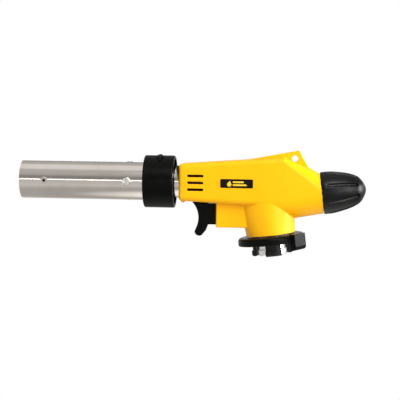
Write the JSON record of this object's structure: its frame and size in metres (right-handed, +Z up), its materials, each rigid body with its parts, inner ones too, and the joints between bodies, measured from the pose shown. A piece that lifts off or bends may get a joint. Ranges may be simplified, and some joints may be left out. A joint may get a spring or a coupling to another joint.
{
  "type": "propane torch",
  "caption": "Hand torch head with a steel burner tube, air collar, moulded body, finger trigger, gas knob and a twist-on cartridge seat.",
  "frame": {"origin": "centre of the face that rests on the gas cartridge, on the cartridge axis", "axes": "+Z up along the cartridge axis, +X towards the gas knob, so the burner runs towards -X and rises 7.2 degrees; the housing halves meet in the XZ plane and the label is on the -Y side"},
  "size_m": [0.2177, 0.042, 0.0768],
  "materials": {
    "yellow_abs": "satin gloss moulded ABS",
    "label_black": "gloss black printed plate, lettering left out",
    "stainless": "brushed stainless steel",
    "zinc_screw": "zinc plated",
    "bright_steel": "bright drawn steel",
    "black_nylon": "semi-gloss black glass-filled nylon",
    "black_knob": "satin black moulded plastic",
    "black_steel": "black coated steel",
    "brass": "turned brass",
    "cast_zinc": "die cast, vibratory finished",
    "nitrile": "nitrile rubber",
    "sintered": "sintered bronze disc",
    "heat_steel": "heat resisting steel, slightly tinted",
    "igniter_case": "natural acetal",
    "lead_silicone": "red silicone sleeve",
    "ceramic": "glazed ceramic",
    "spring_steel": "spring wire"
  },
  "bodies": {
    "torch_body": {"housing_near": "yellow_abs", "housing_far": "yellow_abs", "label_plate": "label_black", "burner_tube": "stainless", "tube_screws": "zinc_screw", "mouth_rivets": "stainless", "air_sleeve": "bright_steel", "claw_plate": "black_steel", "friction_washer": "spring_steel", "inlet_boss": "cast_zinc", "stem_seal": "nitrile", "seal_retainer": "brass", "inlet_filter": "sintered", "valve_block": "cast_zinc", "needle_o_ring": "nitrile", "gland_nut": "brass", "gas_pipe": "brass", "jet_holder": "brass", "jet_nozzle": "brass", "mixing_tube": "heat_steel", "tube_bush": "heat_steel", "flame_holder": "heat_steel", "flame_ring": "heat_steel", "piezo_case": "igniter_case", "piezo_spring": "spring_steel", "ignition_lead": "lead_silicone", "electrode_insulator": "ceramic", "spark_electrode": "spring_steel", "housing_screws": "zinc_screw"},
    "air_collar": {"air_collar": "black_nylon"},
    "needle": {"valve_needle": "brass"},
    "knob": {"knob": "black_knob", "knob_insert": "brass"},
    "trigger": {"trigger": "black_nylon", "piezo_plunger": "igniter_case"},
    "guide_ring": {"guide_ring": "black_nylon"}
  },
  "joints": [
    {"name": "air_collar_turn", "type": "hinge", "parent": "torch_body", "child": "air_collar", "pos_m": [0, 0, 0.03785], "axis": [-0.9921, 0, 0.1253], "range_deg": [0, 60]},
    {"name": "needle_travel", "type": "slide", "parent": "torch_body", "child": "needle", "axis": [1, 0, 0], "range_m": [0, 0.00075]},
    {"name": "knob_turn", "type": "hinge", "parent": "needle", "child": "knob", "pos_m": [0, 0, 0.0277], "axis": [1, 0, 0], "range_deg": [0, 540]},
    {"name": "trigger_slide", "type": "slide", "parent": "torch_body", "child": "trigger", "axis": [0.9921, 0, -0.1253], "range_m": [0, 0.0048], "stiffness_N_per_m": 300, "springref_m": -0.01, "deforming": ["piezo_spring"]},
    {"name": "guide_ring_turn", "type": "hinge", "parent": "torch_body", "child": "guide_ring", "pos_m": [0, 0, 0], "axis": [0, 0, 1], "range_deg": [0, 38]}
  ],
  "couplings": [
    {"joint": "knob_turn", "follows": "needle_travel", "rad_per_m": 12566}
  ]
}
